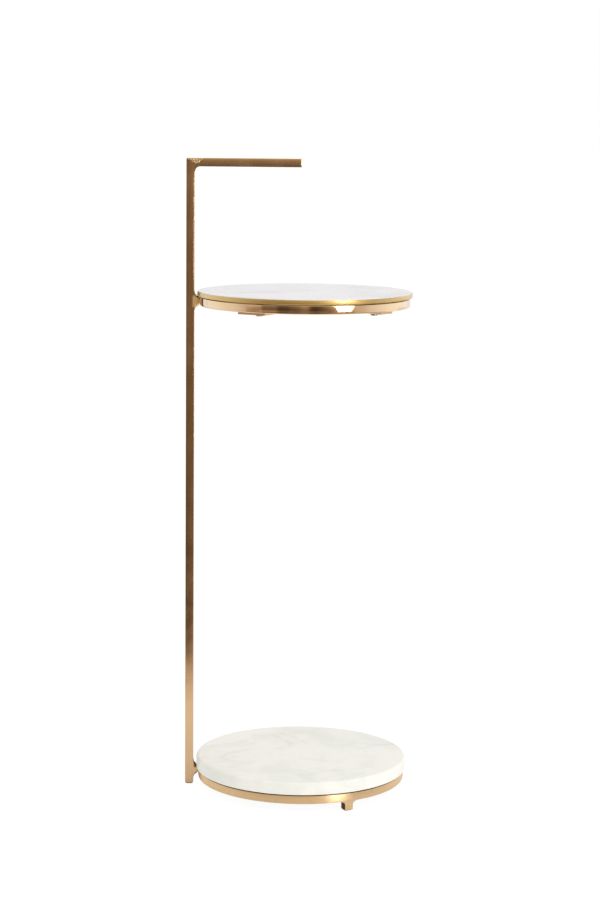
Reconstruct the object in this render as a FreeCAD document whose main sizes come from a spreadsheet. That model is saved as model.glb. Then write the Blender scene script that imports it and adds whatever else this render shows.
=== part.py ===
import FreeCAD, Part
import math
import os
import Sketcher

# A wine table: a square post at the side carries a stone slab near the floor, a small round
# tray with a stone inlay at hand height and a carrying handle above it.
# Frame: origin on the floor under the middle of the overall footprint, +Z up, post at -X.

SIZES = {
    # whole table
    "total_height": 660.0,
    "table_height": 524.6,
    # square bar of the post and the handle
    "bar_width": 8.6,
    "bar_depth": 8.6,
    "bar_edge": 0.7,
    "post_crown": 1.5,
    "handle_reach": 118.3,
    "handle_height": 8.8,
    "handle_fillet": 5.3,
    "weld_toe": 0.3,
    # rings and the lugs that tie them to the post
    "ring_radius": 108.9,
    "ring_width": 9.4,
    "ring_height": 9.5,
    "ring_edge": 0.9,
    "lug_length": 5.2,
    "upper_lug_rise": -0.6,
    "lower_lug_rise": 1.2,
    "lug_neck": 3.8,
    "lug_collar": 5.0,
    "lug_flare": 5.1,
    "lug_flare_length": 4.0,
    "lug_relief": 0.5,
    # feet
    "foot_height": 9.8,
    "foot_width": 9.0,
    "foot_flare": 3.6,
    "foot_angle": 62.5,
    "glide_thick": 0.8,
    "glide_inset": 0.7,
    # tabletop tray and its stone
    "tray_overhang": 2.4,
    "tray_rim": 4.6,
    "tray_wall": 0.8,
    "tray_floor": 1.0,
    "tray_edge": 0.7,
    "stone_clear": 0.15,
    "stone_proud": 0.85,
    "stone_arris": 0.6,
    # lower slab
    "slab_overhang": 1.8,
    "slab_thick": 13.4,
    "slab_round": 2.6,
    "slab_arris": 0.8,
    # dark joint above each ring
    "shadow_gap": 0.6,
    # fixing plates
    "tab_angle_right": 40.0,
    "tab_angle_left": 120.0,
    "tab_width_right": 20.0,
    "tab_width_left": 31.0,
    "tab_thick": 1.8,
    "tab_nose": 7.0,
    "tab_corner": 5.0,
    "tab_setback": 1.2,
    # fasteners
    "screw_inset": 8.5,
    "screw_radius": 2.0,
    "screw_length": 10.0,
    "screw_head_radius": 3.9,
    "screw_head_height": 2.4,
    "screw_head_round": 1.1,
    "recess_span": 4.4,
    "recess_slot": 0.9,
    "recess_depth": 1.3,
    "hole_clear": 0.3,
    "thread_clear": 0.05,
    "standoff_radius": 4.0,
    "insert_radius": 3.6,
    "insert_length": 8.0,
    "insert_clear": 0.1,
    "insert_relief": 0.8,
    "cushion_radius": 7.0,
}


class Dim:
    """A size with its number, for the first guess, and the sheet formula that drives it."""

    def __init__(self, value, formula):
        self.value = value
        self.formula = formula

    def __add__(self, other):
        other = as_dim(other)
        return Dim(self.value + other.value, f"({self.formula} + {other.formula})")

    def __sub__(self, other):
        other = as_dim(other)
        return Dim(self.value - other.value, f"({self.formula} - {other.formula})")

    def __mul__(self, other):
        other = as_dim(other)
        return Dim(self.value * other.value, f"({self.formula} * {other.formula})")

    def __truediv__(self, other):
        other = as_dim(other)
        return Dim(self.value / other.value, f"({self.formula} / {other.formula})")

    def __neg__(self):
        return Dim(-self.value, f"(0 - {self.formula})")


def as_dim(size):
    if isinstance(size, Dim):
        return size
    return Dim(float(size), str(float(size)))


def cosine(angle):
    return Dim(math.cos(math.radians(angle.value)), f"cos({angle.formula})")


def sine(angle):
    return Dim(math.sin(math.radians(angle.value)), f"sin({angle.formula})")


def root(square):
    return Dim(math.sqrt(square.value), f"sqrt({square.formula})")


doc = FreeCAD.newDocument("wine_table")
sheet = doc.addObject("Spreadsheet::Sheet", "dims")
sizes = {}
for row, (name, number) in enumerate(SIZES.items(), start=1):
    sheet.set(f"A{row}", name)
    sheet.set(f"B{row}", str(number))
    sheet.setAlias(f"B{row}", name)
    sizes[name] = Dim(number, f"dims.{name}")
doc.recompute()

ZERO = as_dim(0.0)
parts = []


def size(name):
    return sizes[name]


def new_body(label):
    body = doc.addObject("PartDesign::Body", label)
    body.Label = label
    parts.append(body)
    return body


def place(body, x=ZERO, z=ZERO, angle=ZERO):
    """Stand a body at (x, 0, z), turned about its own Z axis."""
    turn = FreeCAD.Rotation(FreeCAD.Vector(0, 0, 1), angle.value)
    body.Placement = FreeCAD.Placement(FreeCAD.Vector(x.value, 0, z.value), turn)
    body.setExpression("Placement.Base.x", x.formula)
    body.setExpression("Placement.Base.z", z.formula)
    if angle is not ZERO:
        body.setExpression("Placement.Rotation.Angle", angle.formula)


def new_sketch(body, role, name):
    sketch = body.newObject("Sketcher::SketchObject", name)
    plane = [feature for feature in body.Origin.OriginFeatures if feature.Role == role][0]
    sketch.AttachmentSupport = [(plane, "")]
    sketch.MapMode = "FlatFace"
    return sketch


def fix_point(sketch, item, point, x, y):
    """Hold a sketch point at (x, y) from the sketch's origin."""
    for kind, axis, distance in (("DistanceX", -2, x), ("DistanceY", -1, y)):
        if distance is ZERO:
            sketch.addConstraint(Sketcher.Constraint("PointOnObject", item, point, axis))
        else:
            rule = Sketcher.Constraint(kind, -1, 1, item, point, distance.value)
            sketch.setExpression(f"Constraints[{sketch.addConstraint(rule)}]", distance.formula)


def outline(sketch, corners, arcs=None):
    """Closed outline through the corners; arcs maps a side to (centre x, centre y, radius)."""
    arcs = arcs or {}
    ends = []
    for side, (x, y) in enumerate(corners):
        next_x, next_y = corners[(side + 1) % len(corners)]
        start = FreeCAD.Vector(x.value, y.value, 0)
        stop = FreeCAD.Vector(next_x.value, next_y.value, 0)
        if side not in arcs:
            ends.append((sketch.addGeometry(Part.LineSegment(start, stop)), 1, 2))
            continue
        centre_x, centre_y, radius = arcs[side]
        centre = FreeCAD.Vector(centre_x.value, centre_y.value, 0)
        first = math.atan2(start.y - centre.y, start.x - centre.x)
        last = math.atan2(stop.y - centre.y, stop.x - centre.x)
        circle = Part.Circle(centre, FreeCAD.Vector(0, 0, 1), radius.value)
        if (last - first) % (2 * math.pi) < math.pi:
            arc = sketch.addGeometry(Part.ArcOfCircle(circle, first, last))
            ends.append((arc, 1, 2))
        else:
            arc = sketch.addGeometry(Part.ArcOfCircle(circle, last, first))
            ends.append((arc, 2, 1))
        rule = sketch.addConstraint(Sketcher.Constraint("Radius", arc, radius.value))
        sketch.setExpression(f"Constraints[{rule}]", radius.formula)
    for side, (item, start, stop) in enumerate(ends):
        next_item, next_start, _ = ends[(side + 1) % len(ends)]
        sketch.addConstraint(Sketcher.Constraint("Coincident", item, stop, next_item, next_start))
        fix_point(sketch, item, start, *corners[side])


def rectangle(sketch, left, right, bottom, top):
    outline(sketch, [(left, bottom), (right, bottom), (right, top), (left, top)])


def circle(sketch, radius, x=ZERO, y=ZERO):
    centre = FreeCAD.Vector(x.value, y.value, 0)
    item = sketch.addGeometry(Part.Circle(centre, FreeCAD.Vector(0, 0, 1), radius.value))
    fix_point(sketch, item, 3, x, y)
    rule = sketch.addConstraint(Sketcher.Constraint("Radius", item, radius.value))
    sketch.setExpression(f"Constraints[{rule}]", radius.formula)


def pad(body, sketch, length, both_ways=False):
    feature = body.newObject("PartDesign::Pad", f"{body.Name}_pad")
    feature.Profile = sketch
    feature.SideType = "Symmetric" if both_ways else "One side"
    feature.setExpression("Length", length.formula)
    doc.recompute()
    return feature


def revolve(body, sketch, axis="V_Axis"):
    feature = body.newObject("PartDesign::Revolution", f"{body.Name}_turned")
    feature.Profile = sketch
    feature.ReferenceAxis = (sketch, [axis])
    feature.Angle = 360
    doc.recompute()
    return feature


def pocket(body, sketch, length=None, upwards=False):
    """Cut the sketch out of the body: to a depth up or down, or right through both ways."""
    before = body.Shape.Volume
    feature = body.newObject("PartDesign::Pocket", f"{body.Name}_cut")
    feature.Profile = sketch
    if length is None:
        feature.SideType = "Symmetric"
        feature.Type = "ThroughAll"
    else:
        feature.setExpression("Length", length.formula)
        feature.Reversed = upwards
    doc.recompute()
    if body.Shape.Volume >= before:
        raise RuntimeError(f"{feature.Name} cuts nothing")
    return feature


def ease(body, radius, wanted, name):
    """Round the edges of the body that the test picks out."""
    last = body.Tip
    edges = [f"Edge{n}" for n, edge in enumerate(last.Shape.Edges, start=1) if wanted(edge)]
    if not edges:
        raise RuntimeError(f"{body.Name} has no edges for {name}")
    feature = body.newObject("PartDesign::Fillet", f"{body.Name}_{name}")
    feature.Base = (last, edges)
    feature.setExpression("Radius", radius.formula)
    doc.recompute()
    return feature


def near(first, second):
    return abs(first - second) < 1e-4


def along(edge, direction):
    """True where an edge is straight and runs along X, Y or Z."""
    if edge.Curve.TypeId != "Part::GeomLine":
        return False
    return abs(edge.Curve.Direction.dot(direction)) > 0.9999


def level(edge, height):
    box = edge.BoundBox
    return near(box.ZMin, height.value) and near(box.ZMax, height.value)


def rim(edge, radius, height):
    """True where an edge is a whole circle of this radius at this height."""
    if edge.Curve.TypeId != "Part::GeomCircle" or len(edge.Vertexes) > 1:
        return False
    return near(edge.Curve.Radius, radius.value) and level(edge, height)


Z_AXIS = FreeCAD.Vector(0, 0, 1)

bar_width = size("bar_width")
bar_depth = size("bar_depth")
bar_edge = size("bar_edge")
ring_radius = size("ring_radius")
ring_height = size("ring_height")
ring_edge = size("ring_edge")
ring_bore = ring_radius - size("ring_width")
tray_radius = ring_radius + size("tray_overhang")
tab_thick = size("tab_thick")
screw_circle = ring_bore - size("screw_inset")
screw_radius = size("screw_radius")
clear_hole = screw_radius + size("hole_clear")
thread_bore = screw_radius + size("thread_clear")
screw_head_height = size("screw_head_height")
glide_thick = size("glide_thick")
shadow_gap = size("shadow_gap")

# Across the table: the discs share one axis, and the post stands clear of them by its lugs.
post_reach = ring_radius + size("lug_length")
axis_x = (size("lug_length") + bar_width - size("tray_overhang")) / 2
post_inner = axis_x - post_reach
post_outer = post_inner - bar_width

# Up the table.
base_ring_z = size("foot_height")
base_ring_top = base_ring_z + ring_height
base_tab_top = base_ring_top - ring_edge
slab_z = base_ring_top + shadow_gap
tray_z = size("table_height") - size("stone_proud") - size("tray_rim")
top_ring_z = tray_z - shadow_gap - ring_height
total_height = size("total_height")

RIGHT = size("tab_angle_right")
LEFT = size("tab_angle_left")


def tab_half(corner):
    side = "right" if corner.endswith("right") else "left"
    return size(f"tab_width_{side}") / 2


CORNERS = {
    "rear_right": RIGHT,
    "rear_left": LEFT,
    "front_left": -LEFT,
    "front_right": -RIGHT,
}


def make_post():
    body = new_body("post")
    sketch = new_sketch(body, "XY_Plane", "post_section")
    rectangle(sketch, -bar_width / 2, bar_width / 2, -bar_depth / 2, bar_depth / 2)
    length = total_height - glide_thick
    pad(body, sketch, length)

    def outer_top(edge):
        return level(edge, length) and near(edge.BoundBox.XMax, -bar_width.value / 2)

    def upright(edge):
        return along(edge, Z_AXIS) and edge.Length > length.value / 2

    ease(body, size("post_crown"), outer_top, "crown")
    ease(body, bar_edge, upright, "edges")
    place(body, post_inner - bar_width / 2, glide_thick)


def make_handle():
    body = new_body("handle_bar")
    sketch = new_sketch(body, "XZ_Plane", "handle_side")
    reach = size("handle_reach") - bar_width
    drop = -size("handle_height")
    fillet = size("handle_fillet")
    toe = size("weld_toe")
    corners = [
        (ZERO, ZERO),
        (reach, ZERO),
        (reach, drop),
        (toe + fillet, drop),
        (toe, drop - fillet),
        (ZERO, drop - fillet),
    ]
    outline(sketch, corners, {3: (toe + fillet, drop - fillet, fillet)})
    pad(body, sketch, bar_depth, both_ways=True)
    ease(body, bar_edge, lambda edge: near(edge.BoundBox.XMin, reach.value), "end")
    place(body, post_inner, total_height)


def make_lug(label, ring_z, overhang):
    """A round neck from the post to the ring, flared like a trumpet at the post.

    It is trimmed to the depth of the bar and relieved where the disc above overhangs the ring.
    """
    body = new_body(label)
    sketch = new_sketch(body, "XZ_Plane", f"{label}_profile")
    neck = size("lug_neck")
    flare = size("lug_flare")
    root_radius = size("lug_collar") + flare
    toe = size("weld_toe")
    tip = size("lug_length") + ring_edge
    mouth = toe + size("lug_flare_length")
    short = flare - size("lug_flare_length")
    mouth_radius = root_radius - root(flare * flare - short * short)
    rise = size(f"{label}_rise")
    corners = [
        (ZERO, ZERO),
        (tip, ZERO),
        (tip, neck),
        (mouth, neck),
        (mouth, mouth_radius),
        (toe, root_radius),
        (ZERO, root_radius),
    ]
    outline(sketch, corners, {4: (toe + flare, root_radius, flare)})
    revolve(body, sketch, "H_Axis")
    sides = new_sketch(body, "XY_Plane", f"{label}_sides")
    rectangle(sides, -toe, tip, bar_depth / 2, bar_depth / 2 + root_radius)
    rectangle(sides, -toe, tip, -bar_depth / 2 - root_radius, -bar_depth / 2)
    pocket(body, sides)
    relief = new_sketch(body, "XZ_Plane", f"{label}_relief")
    clear = size("lug_length") - overhang - size("lug_relief")
    rectangle(relief, clear, tip + toe, ring_height / 2 - rise, root_radius + toe)
    pocket(body, relief)
    hollow = new_sketch(body, "XY_Plane", f"{label}_ring_face")
    circle(hollow, ring_radius, post_reach)
    pocket(body, hollow)
    place(body, post_inner, ring_z + ring_height / 2 + rise)


def make_ring(label, ring_z):
    body = new_body(label)
    sketch = new_sketch(body, "XZ_Plane", f"{label}_section")
    rectangle(sketch, ring_bore, ring_radius, ZERO, ring_height)
    revolve(body, sketch)
    ease(body, ring_edge, lambda edge: len(edge.Vertexes) == 1, "edges")
    place(body, axis_x, ring_z)


def make_foot(label, angle):
    """A short leg under the base ring, as deep as the ring and flared into its underside."""
    body = new_body(label)
    sketch = new_sketch(body, "YZ_Plane", f"{label}_front")
    half = size("foot_width") / 2
    flare = size("foot_flare")
    toe = size("weld_toe")
    top = base_ring_z - glide_thick
    corners = [
        (-half, ZERO),
        (half, ZERO),
        (half, top - toe - flare),
        (half + flare, top - toe),
        (half + flare, top),
        (-half - flare, top),
        (-half - flare, top - toe),
        (-half, top - toe - flare),
    ]
    arcs = {
        2: (half + flare, top - toe - flare, flare),
        6: (-half - flare, top - toe - flare, flare),
    }
    outline(sketch, corners, arcs)
    pad(body, sketch, ring_radius + ring_edge)
    trim = new_sketch(body, "XY_Plane", f"{label}_depth")
    circle(trim, ring_bore)
    circle(trim, ring_radius - ring_edge)
    circle(trim, ring_radius + half + flare)
    pocket(body, trim)
    place(body, axis_x, glide_thick, angle)


def make_post_glide():
    body = new_body("post_glide")
    sketch = new_sketch(body, "XY_Plane", "post_glide_outline")
    half_x = bar_width / 2 - size("glide_inset")
    half_y = bar_depth / 2 - size("glide_inset")
    rectangle(sketch, -half_x, half_x, -half_y, half_y)
    pad(body, sketch, glide_thick)
    place(body, post_inner - bar_width / 2)


def make_foot_glide(label, angle):
    body = new_body(label)
    sketch = new_sketch(body, "XY_Plane", f"{label}_outline")
    inset = size("glide_inset")
    half = size("foot_width") / 2 - inset
    rectangle(sketch, ring_bore + inset, ring_radius - ring_edge - inset, -half, half)
    pad(body, sketch, glide_thick)
    place(body, axis_x, ZERO, angle)


def make_tray():
    body = new_body("top_tray")
    sketch = new_sketch(body, "XZ_Plane", "tray_section")
    inner = tray_radius - size("tray_wall")
    rim_height = size("tray_rim")
    base = size("tray_floor")
    corners = [
        (ZERO, ZERO),
        (tray_radius, ZERO),
        (tray_radius, rim_height),
        (inner, rim_height),
        (inner, base),
        (ZERO, base),
    ]
    outline(sketch, corners)
    revolve(body, sketch)
    ease(body, size("tray_edge"), lambda edge: rim(edge, tray_radius, ZERO), "heel")
    place(body, axis_x, tray_z)


def make_top_stone():
    body = new_body("top_stone")
    sketch = new_sketch(body, "XZ_Plane", "top_stone_section")
    radius = tray_radius - size("tray_wall") - size("stone_clear")
    thick = size("tray_rim") - size("tray_floor") + size("stone_proud")
    rectangle(sketch, ZERO, radius, ZERO, thick)
    revolve(body, sketch)
    ease(body, size("stone_arris"), lambda edge: rim(edge, radius, thick), "arris")
    place(body, axis_x, tray_z + size("tray_floor"))


def make_slab():
    body = new_body("base_stone")
    sketch = new_sketch(body, "XZ_Plane", "slab_section")
    radius = ring_radius + size("slab_overhang")
    thick = size("slab_thick")
    rectangle(sketch, ZERO, radius, ZERO, thick)
    revolve(body, sketch)
    ease(body, size("slab_round"), lambda edge: rim(edge, radius, thick), "upper_edge")
    ease(body, size("slab_arris"), lambda edge: rim(edge, radius, ZERO), "lower_edge")
    holes = new_sketch(body, "XY_Plane", "insert_holes")
    for angle in CORNERS.values():
        hole = size("insert_radius") + size("insert_clear")
        circle(holes, hole, screw_circle * cosine(angle), screw_circle * sine(angle))
    pocket(body, holes, size("insert_length") + size("insert_relief"), upwards=True)
    place(body, axis_x, slab_z)


def round_nose(body, nose):
    """Round a plate's two upright corners at its inner end."""

    def corner_edge(edge):
        return along(edge, Z_AXIS) and near(edge.BoundBox.XMax, nose.value)

    ease(body, size("tab_corner"), corner_edge, "nose")


def make_top_tab(corner, angle):
    """A plate welded under the top ring, reaching in to the screw."""
    body = new_body(f"top_tab_{corner}")
    sketch = new_sketch(body, "XY_Plane", f"top_tab_{corner}_outline")
    nose = screw_circle - size("tab_nose")
    half = tab_half(corner)
    heel = ring_radius - ring_edge - size("tab_setback")
    rectangle(sketch, nose, heel, -half, half)
    circle(sketch, clear_hole, screw_circle)
    pad(body, sketch, tab_thick)
    round_nose(body, nose)
    place(body, axis_x, top_ring_z - tab_thick, angle)


def make_base_tab(corner, angle):
    """A plate welded inside the base ring, just below its upper edge."""
    body = new_body(f"base_tab_{corner}")
    sketch = new_sketch(body, "XY_Plane", f"base_tab_{corner}_outline")
    nose = screw_circle - size("tab_nose")
    half = tab_half(corner)
    rectangle(sketch, nose, ring_radius, -half, half)
    circle(sketch, clear_hole, screw_circle)
    pad(body, sketch, tab_thick)
    round_nose(body, nose)
    trim = new_sketch(body, "XY_Plane", f"base_tab_{corner}_heel")
    circle(trim, ring_bore)
    circle(trim, ring_radius + half)
    pocket(body, trim)
    place(body, axis_x, base_tab_top - tab_thick, angle)


def make_sleeve(label, outer, bore, length, height, angle):
    """A round sleeve, standing on the screw circle."""
    body = new_body(label)
    sketch = new_sketch(body, "XY_Plane", f"{label}_section")
    circle(sketch, outer, screw_circle)
    circle(sketch, bore, screw_circle)
    pad(body, sketch, length)
    place(body, axis_x, height, angle)


def make_standoff(corner, angle):
    """A threaded sleeve under the tray; it stands on its plate and holds the tray off the ring."""
    length = tray_z - top_ring_z
    label = f"tray_standoff_{corner}"
    make_sleeve(label, size("standoff_radius"), thread_bore, length, top_ring_z, angle)


def make_cushion(corner, angle):
    """A soft washer between a plate and the slab."""
    length = slab_z - base_tab_top
    label = f"base_cushion_{corner}"
    make_sleeve(label, size("cushion_radius"), clear_hole, length, base_tab_top, angle)


def make_insert(corner, angle):
    """A threaded insert bonded into the underside of the slab."""
    length = size("insert_length")
    label = f"base_insert_{corner}"
    make_sleeve(label, size("insert_radius"), thread_bore, length, slab_z, angle)


def make_screw(label, seat_z, angle):
    """A pan-head screw, pointing up, whose head bears on the underside of a plate."""
    body = new_body(label)
    shank = new_sketch(body, "XY_Plane", f"{label}_shank")
    circle(shank, screw_radius, screw_circle)
    pad(body, shank, size("screw_length"))
    head = new_sketch(body, "XY_Plane", f"{label}_head")
    head_radius = size("screw_head_radius")
    circle(head, head_radius, screw_circle)
    feature = pad(body, head, screw_head_height)
    feature.Reversed = True
    doc.recompute()
    under = -screw_head_height
    ease(body, size("screw_head_round"), lambda edge: rim(edge, head_radius, under), "pan")
    recess = new_sketch(body, "XY_Plane", f"{label}_recess")
    recess.setExpression("AttachmentOffset.Base.z", under.formula)
    span = size("recess_span") / 2
    slot = size("recess_slot") / 2
    cross = [
        (slot, slot), (slot, span), (-slot, span), (-slot, slot),
        (-span, slot), (-span, -slot), (-slot, -slot), (-slot, -span),
        (slot, -span), (slot, -slot), (span, -slot), (span, slot),
    ]
    outline(recess, [(screw_circle + x, y) for x, y in cross])
    pocket(body, recess, size("recess_depth"), upwards=True)
    place(body, axis_x, seat_z, angle)


make_post()
make_handle()
make_lug("upper_lug", top_ring_z, size("tray_overhang"))
make_lug("lower_lug", base_ring_z, size("slab_overhang"))
make_ring("top_ring", top_ring_z)
make_ring("base_ring", base_ring_z)
make_foot("front_foot", -size("foot_angle"))
make_foot("rear_foot", size("foot_angle"))
make_post_glide()
make_foot_glide("front_glide", -size("foot_angle"))
make_foot_glide("rear_glide", size("foot_angle"))
make_tray()
make_top_stone()
make_slab()

for corner, angle in CORNERS.items():
    make_top_tab(corner, angle)
    make_standoff(corner, angle)
    make_screw(f"tray_screw_{corner}", top_ring_z - tab_thick, angle)
    make_base_tab(corner, angle)
    make_cushion(corner, angle)
    make_insert(corner, angle)
    make_screw(f"base_screw_{corner}", base_tab_top - tab_thick, angle)

doc.recompute()
for item in doc.Objects:
    if "Invalid" in item.State or "Error" in item.State:
        raise RuntimeError(f"{item.Label} failed to build")
for body in parts:
    if body.Shape.isNull() or not body.Shape.isValid() or len(body.Shape.Solids) != 1:
        raise RuntimeError(f"{body.Label} is not one valid solid")

os.makedirs("parts", exist_ok=True)
for body in parts:
    body.Shape.exportStep(f"parts/{body.Label}.step")
    print(body.Label, round(body.Shape.Volume, 1))
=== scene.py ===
"""Looks of the wine table: a brass frame with two marble discs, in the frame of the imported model."""

import math

import bmesh
import bpy
import numpy as np
from mathutils import Matrix, Vector, noise


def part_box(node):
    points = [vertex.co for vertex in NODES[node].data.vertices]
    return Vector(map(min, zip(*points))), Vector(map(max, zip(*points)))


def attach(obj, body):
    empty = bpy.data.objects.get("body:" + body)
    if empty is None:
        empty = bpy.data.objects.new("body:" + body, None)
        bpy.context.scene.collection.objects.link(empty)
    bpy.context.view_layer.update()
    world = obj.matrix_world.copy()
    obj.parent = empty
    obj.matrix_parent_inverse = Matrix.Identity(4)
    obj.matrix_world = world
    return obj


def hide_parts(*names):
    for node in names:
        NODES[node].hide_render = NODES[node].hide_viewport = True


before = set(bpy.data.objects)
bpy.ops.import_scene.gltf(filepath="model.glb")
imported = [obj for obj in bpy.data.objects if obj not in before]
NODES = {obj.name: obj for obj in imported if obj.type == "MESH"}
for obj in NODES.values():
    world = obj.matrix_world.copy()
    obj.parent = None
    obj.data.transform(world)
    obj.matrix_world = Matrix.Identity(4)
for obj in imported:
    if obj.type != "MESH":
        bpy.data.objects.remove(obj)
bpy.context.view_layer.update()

MM = 0.001
BODY = "root"
CORNERS = ("front_left", "front_right", "rear_left", "rear_right")


# Sizes that a node's box doesn't give, in millimetres and degrees.
HANDLE_HEIGHT = 8.8
HANDLE_FILLET = 5.3
WELD_TOE = 0.3
SINK = 0.35  # how far a welded end runs into its neighbour
LUG_NECK = 3.8
LUG_COLLAR = 5.0
LUG_FLARE = 5.1
LUG_FLARE_LENGTH = 4.0
LUG_RELIEF = 0.5
FOOT_WIDTH = 9.0
FOOT_FLARE = 3.6
FEET = (("front", -62.5), ("rear", 62.5))
GLIDE_INSET = 0.7
RING_WIDTH = 9.4
RING_EDGE = 0.9
TRAY_WALL = 0.8
TRAY_FLOOR = 1.0
STONE_ARRIS = 0.6
SLAB_ROUND = 2.6
SLAB_ARRIS = 0.8
WASHER_BORE = 2.3

# How finely the round pieces are turned.
DISC_SEGMENTS = 640
LUG_SEGMENTS = 128
WASHER_SEGMENTS = 72


def box_mm(node):
    """The low and high corners of a node's box."""
    low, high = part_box(node)
    return np.array(low) / MM, np.array(high) / MM


def middle(node):
    low, high = box_mm(node)
    return (low + high) / 2


def radius_of(node):
    low, high = box_mm(node)
    return (high[0] - low[0]) / 2


# Both discs and both rings stand about the upright axis at this x and at y = 0.
DISC_X = middle("top_ring")[0]
DISC_AXIS = (DISC_X, 0.0)


# Geometry helpers, in millimetres until a mesh is made.


def smooth_step(value, start, end):
    t = np.clip((np.asarray(value, float) - start) / (end - start), 0.0, 1.0)
    return t * t * (3.0 - 2.0 * t)


def window(value, start, end, fade):
    """1 between start and end, with soft shoulders."""
    return smooth_step(value, start - fade, start) * (1.0 - smooth_step(value, end, end + fade))


def look_up(table, value):
    """Read a table of (place, level) pairs, straight between its entries."""
    return float(np.interp(value, *zip(*table)))


def lumps(points, size, seed):
    """Smooth noise from 0 to 1; size is the length of one lump."""
    shift = Vector((seed * 3.7, seed * 1.3, seed * 7.9))
    values = [noise.noise(Vector(p) / size + shift) for p in points]
    return np.clip(0.5 + 0.5 * np.array(values), 0.0, 1.0)


def from_axis(points):
    """How far points are from the discs' axis."""
    return np.hypot(points[:, 0] - DISC_X, points[:, 1])


def drawn_in(distance, radius):
    """Inset of a rounded edge at this distance from the end."""
    gap = max(0.0, radius - max(0.0, distance))
    return radius - math.sqrt(max(0.0, radius * radius - gap * gap))


def edge_stops(end, radius, count):
    """Stops over a rounded edge, closest at the end face; a negative radius runs back from it."""
    return [end + radius * (1 - math.cos(t)) for t in np.linspace(0, math.pi / 2, count)]


SIDE_STEPS = (0.05, 0.15, 0.27, 0.38, 0.5, 0.62, 0.73, 0.85, 0.95)
TURN_STEPS = 5


def rounded_rect(a0, a1, b0, b1, radii):
    """A loop round a rectangle, with its own radius at each corner, from the low-low corner."""
    hubs = (
        (a0 + radii[0], b0 + radii[0], 180.0),
        (a1 - radii[1], b0 + radii[1], 270.0),
        (a1 - radii[2], b1 - radii[2], 0.0),
        (a0 + radii[3], b1 - radii[3], 90.0),
    )
    arcs = []
    for (a, b, start), radius in zip(hubs, radii):
        turns = np.radians(np.linspace(start, start + 90.0, TURN_STEPS + 1))
        arcs.append(np.column_stack((a + radius * np.cos(turns), b + radius * np.sin(turns))))
    loop = []
    for k, bend in enumerate(arcs):
        after = arcs[(k + 1) % 4][0]
        loop.extend(bend)
        loop.extend(bend[-1] + (after - bend[-1]) * t for t in SIDE_STEPS)
    return np.array(loop)


def link_object(name, data):
    obj = bpy.data.objects.new(name, data)
    bpy.context.scene.collection.objects.link(obj)
    return obj


def make_object(name, verts, faces, caps=0):
    """A smooth mesh; its last faces, the caps, keep sharp edges."""
    mesh = bpy.data.meshes.new(name)
    mesh.from_pydata((np.asarray(verts) * MM).tolist(), [], faces)
    shape = bmesh.new()
    shape.from_mesh(mesh)
    shape.faces.ensure_lookup_table()
    bmesh.ops.recalc_face_normals(shape, faces=shape.faces)
    for face in shape.faces[len(faces) - caps :]:
        for edge in face.edges:
            edge.smooth = False
    shape.to_mesh(mesh)
    shape.free()
    for face in mesh.polygons:
        face.use_smooth = True
    return link_object(name, mesh)


def skin(name, loops):
    """One closed mesh over a stack of equal loops, with a flat cap at each end."""
    loops = np.asarray(loops, float)
    rings, count, _ = loops.shape
    faces = []
    for ring in range(rings - 1):
        here = ring * count
        there = here + count
        for i in range(count):
            j = (i + 1) % count
            faces.append((here + i, here + j, there + j, there + i))
    faces.append(tuple(range(count)))
    faces.append(tuple(range((rings - 1) * count, rings * count)))
    return make_object(name, loops.reshape(-1, 3), faces, 2)


def lathe(name, profile, centre, segments):
    """Turn a profile of (radius, height) about an upright axis; a point at radius 0 is a pole."""
    turns = np.linspace(0.0, 2 * math.pi, segments, endpoint=False)
    verts = []
    rows = []
    for radius, height in profile:
        if radius == 0.0:
            rows.append([len(verts)] * segments)
            verts.append((centre[0], centre[1], height))
        else:
            rows.append(list(range(len(verts), len(verts) + segments)))
            xs = centre[0] + radius * np.cos(turns)
            ys = centre[1] + radius * np.sin(turns)
            verts.extend((x, y, height) for x, y in zip(xs, ys))
    closed = profile[0][0] > 0.0
    faces = []
    for k in range(len(rows) if closed else len(rows) - 1):
        here = rows[k]
        there = rows[(k + 1) % len(rows)]
        for i in range(segments):
            j = (i + 1) % segments
            faces.append(tuple(dict.fromkeys((here[i], here[j], there[j], there[i]))))
    return make_object(name, verts, faces)


def arc(centre, radius, start, end, steps):
    """Points of a profile along an arc, from one angle in degrees to another."""
    turns = np.radians(np.linspace(start, end, steps + 1))
    return [(centre[0] + radius * math.cos(t), centre[1] + radius * math.sin(t)) for t in turns]


def read_points(obj):
    """A mesh's points and their normals."""
    verts = obj.data.vertices
    points, normals = np.zeros((2, len(verts) * 3))
    verts.foreach_get("co", points)
    verts.foreach_get("normal", normals)
    return points.reshape(-1, 3) / MM, normals.reshape(-1, 3)


def press_in(obj, depth):
    """Push the surface inwards by a depth for each point, so it never grows past its solid."""
    points, normals = read_points(obj)
    moved = (points - normals * np.asarray(depth)[:, None]) * MM
    obj.data.vertices.foreach_set("co", moved.ravel())
    obj.data.update()


def mark(obj, name, values):
    """Store a mask on the points for the material to read."""
    layer = obj.data.attributes.new(name, "FLOAT", "POINT")
    layer.data.foreach_set("value", np.asarray(values, np.float32))


NORMAL_WEIGHT = 60


def even_normals(obj):
    """Let the larger faces set the shading, so flat sides look flat beside rounded edges."""
    fix = obj.modifiers.new("even_normals", "WEIGHTED_NORMAL")
    fix.weight = NORMAL_WEIGHT
    fix.keep_sharp = True


# Materials.


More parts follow.
